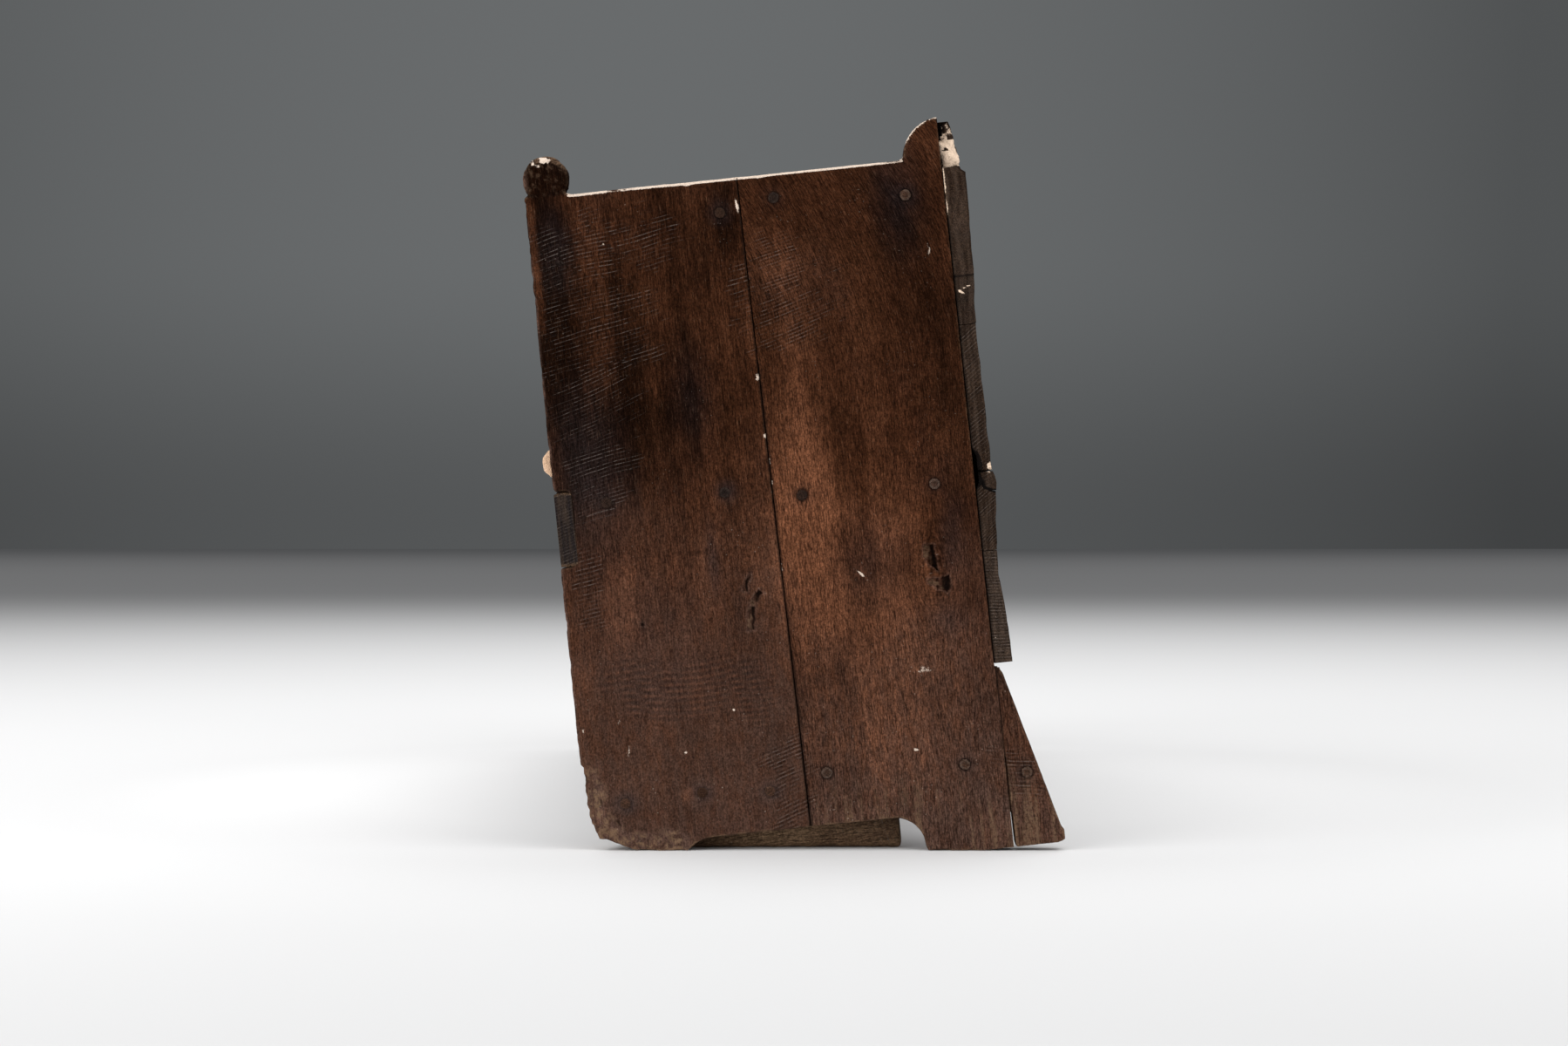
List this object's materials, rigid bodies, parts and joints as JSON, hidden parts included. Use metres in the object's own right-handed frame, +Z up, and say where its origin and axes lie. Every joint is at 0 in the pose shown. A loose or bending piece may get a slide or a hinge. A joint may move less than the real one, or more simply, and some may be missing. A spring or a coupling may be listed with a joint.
{
  "type": "high-backed farmhouse bench",
  "caption": "Antique oak bench with plank ends, round knobs, an open foot arch, a pegged seat and a nailed plank back, leaning on worn feet.",
  "frame": {"origin": "floor point under the middle of the bench's box", "axes": "+X along the bench to the right end as seen from the front, +Y to the back, +Z up"},
  "size_m": [1.6012, 0.6231, 0.8417],
  "materials": {
    "end_oak": "dark waxed oak, hewn and worn",
    "inner_oak": "dry brown oak, unpolished",
    "back_oak": "dark waxed oak, weathered",
    "seat_oak": "oak worn paler by sitting",
    "peg_oak": "dark cleft oak, end grain showing",
    "forged_iron": "hand-forged, rusted dark"
  },
  "bodies": {
    "root": {"right_front_board": "end_oak", "right_rear_board": "end_oak", "right_heel_board": "end_oak", "left_front_board": "end_oak", "left_rear_board": "end_oak", "left_heel_board": "end_oak", "right_top_batten": "inner_oak", "right_seat_bearer": "inner_oak", "right_foot_batten": "inner_oak", "left_top_batten": "inner_oak", "left_seat_bearer": "inner_oak", "left_foot_batten": "inner_oak", "front_rail": "inner_oak", "rear_rail": "inner_oak", "middle_bearer": "inner_oak", "lower_back_plank": "back_oak", "narrow_back_plank": "back_oak", "split_corner": "back_oak", "middle_back_plank": "back_oak", "upper_back_plank": "back_oak", "crest_board": "back_oak", "back_batten": "back_oak", "seat_front_plank": "seat_oak", "seat_rear_plank": "seat_oak", "right_end_pegs": "peg_oak", "right_end_dowels": "peg_oak", "left_end_pegs": "peg_oak", "left_end_dowels": "peg_oak", "seat_pegs": "peg_oak", "seat_dowels": "peg_oak", "back_nails": "forged_iron", "back_batten_nails": "forged_iron", "front_rail_nails": "forged_iron", "rear_rail_nails": "forged_iron"}
  },
  "joints": []
}
